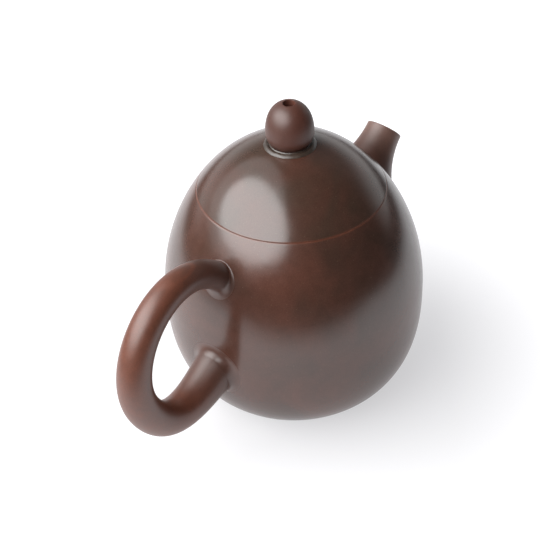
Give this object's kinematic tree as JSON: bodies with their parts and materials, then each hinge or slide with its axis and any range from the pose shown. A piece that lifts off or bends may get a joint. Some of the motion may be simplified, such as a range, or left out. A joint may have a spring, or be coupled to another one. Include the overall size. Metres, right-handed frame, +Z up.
{
  "type": "clay teapot",
  "caption": "Small egg shaped clay teapot with a lid cut from the body's own curve, a short spout and a round ear handle.",
  "frame": {"origin": "centre of the foot ring, in the plane the pot stands on", "axes": "+Z up along the body's axis, +X towards the spout, the handle towards -X"},
  "size_m": [0.1146, 0.07, 0.0879],
  "materials": {
    "body_clay": "unglazed, burnished, satin",
    "lid_clay": "unglazed, burnished, satin",
    "handle_clay": "unglazed, burnished, satin",
    "collar_clay": "unglazed, worn, matt"
  },
  "bodies": {
    "pot": {"belly_wall": "body_clay", "shoulder_wall": "body_clay", "base_disc": "body_clay", "mouth_ring": "body_clay", "spout": "handle_clay", "spout_luting": "body_clay", "strainer": "body_clay", "handle": "handle_clay", "handle_top_luting": "handle_clay", "handle_foot_luting": "handle_clay"},
    "lid": {"lid_dome": "lid_clay", "lid_flange": "lid_clay", "knob_collar": "collar_clay", "knob": "handle_clay"}
  },
  "joints": [
    {"name": "lid_lift", "type": "slide", "parent": "pot", "child": "lid", "axis": [0, 0, 1], "range_m": [0, 0.06]}
  ]
}
